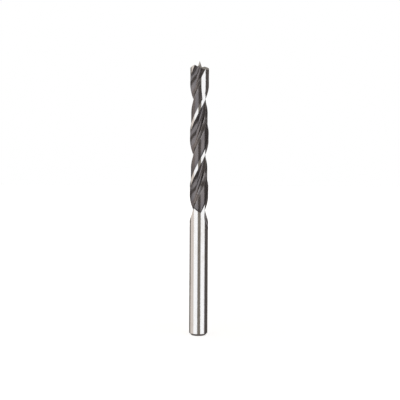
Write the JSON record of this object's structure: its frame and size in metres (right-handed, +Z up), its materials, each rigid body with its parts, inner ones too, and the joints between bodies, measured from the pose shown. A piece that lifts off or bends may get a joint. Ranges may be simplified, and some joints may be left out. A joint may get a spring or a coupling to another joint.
{
  "type": "brad point drill bit",
  "caption": "Wood drill bit with a plain round shank, helical flutes, cutting spurs at the rim and a sharp centre point that holds it in place.",
  "frame": {"origin": "centre of the flat end of the shank", "axes": "+Z up the axis, from the shank's end to the tip of the centre spike. The bit stands on its shank end. A right-hand helix: the flutes turn anticlockwise seen from above as they climb."},
  "size_m": [0.008, 0.008, 0.117],
  "materials": {
    "steel": "ground bright on shank, margins and point, dark oxide in flutes and clearance"
  },
  "bodies": {
    "root": {"drill_bit": "steel"}
  },
  "joints": []
}
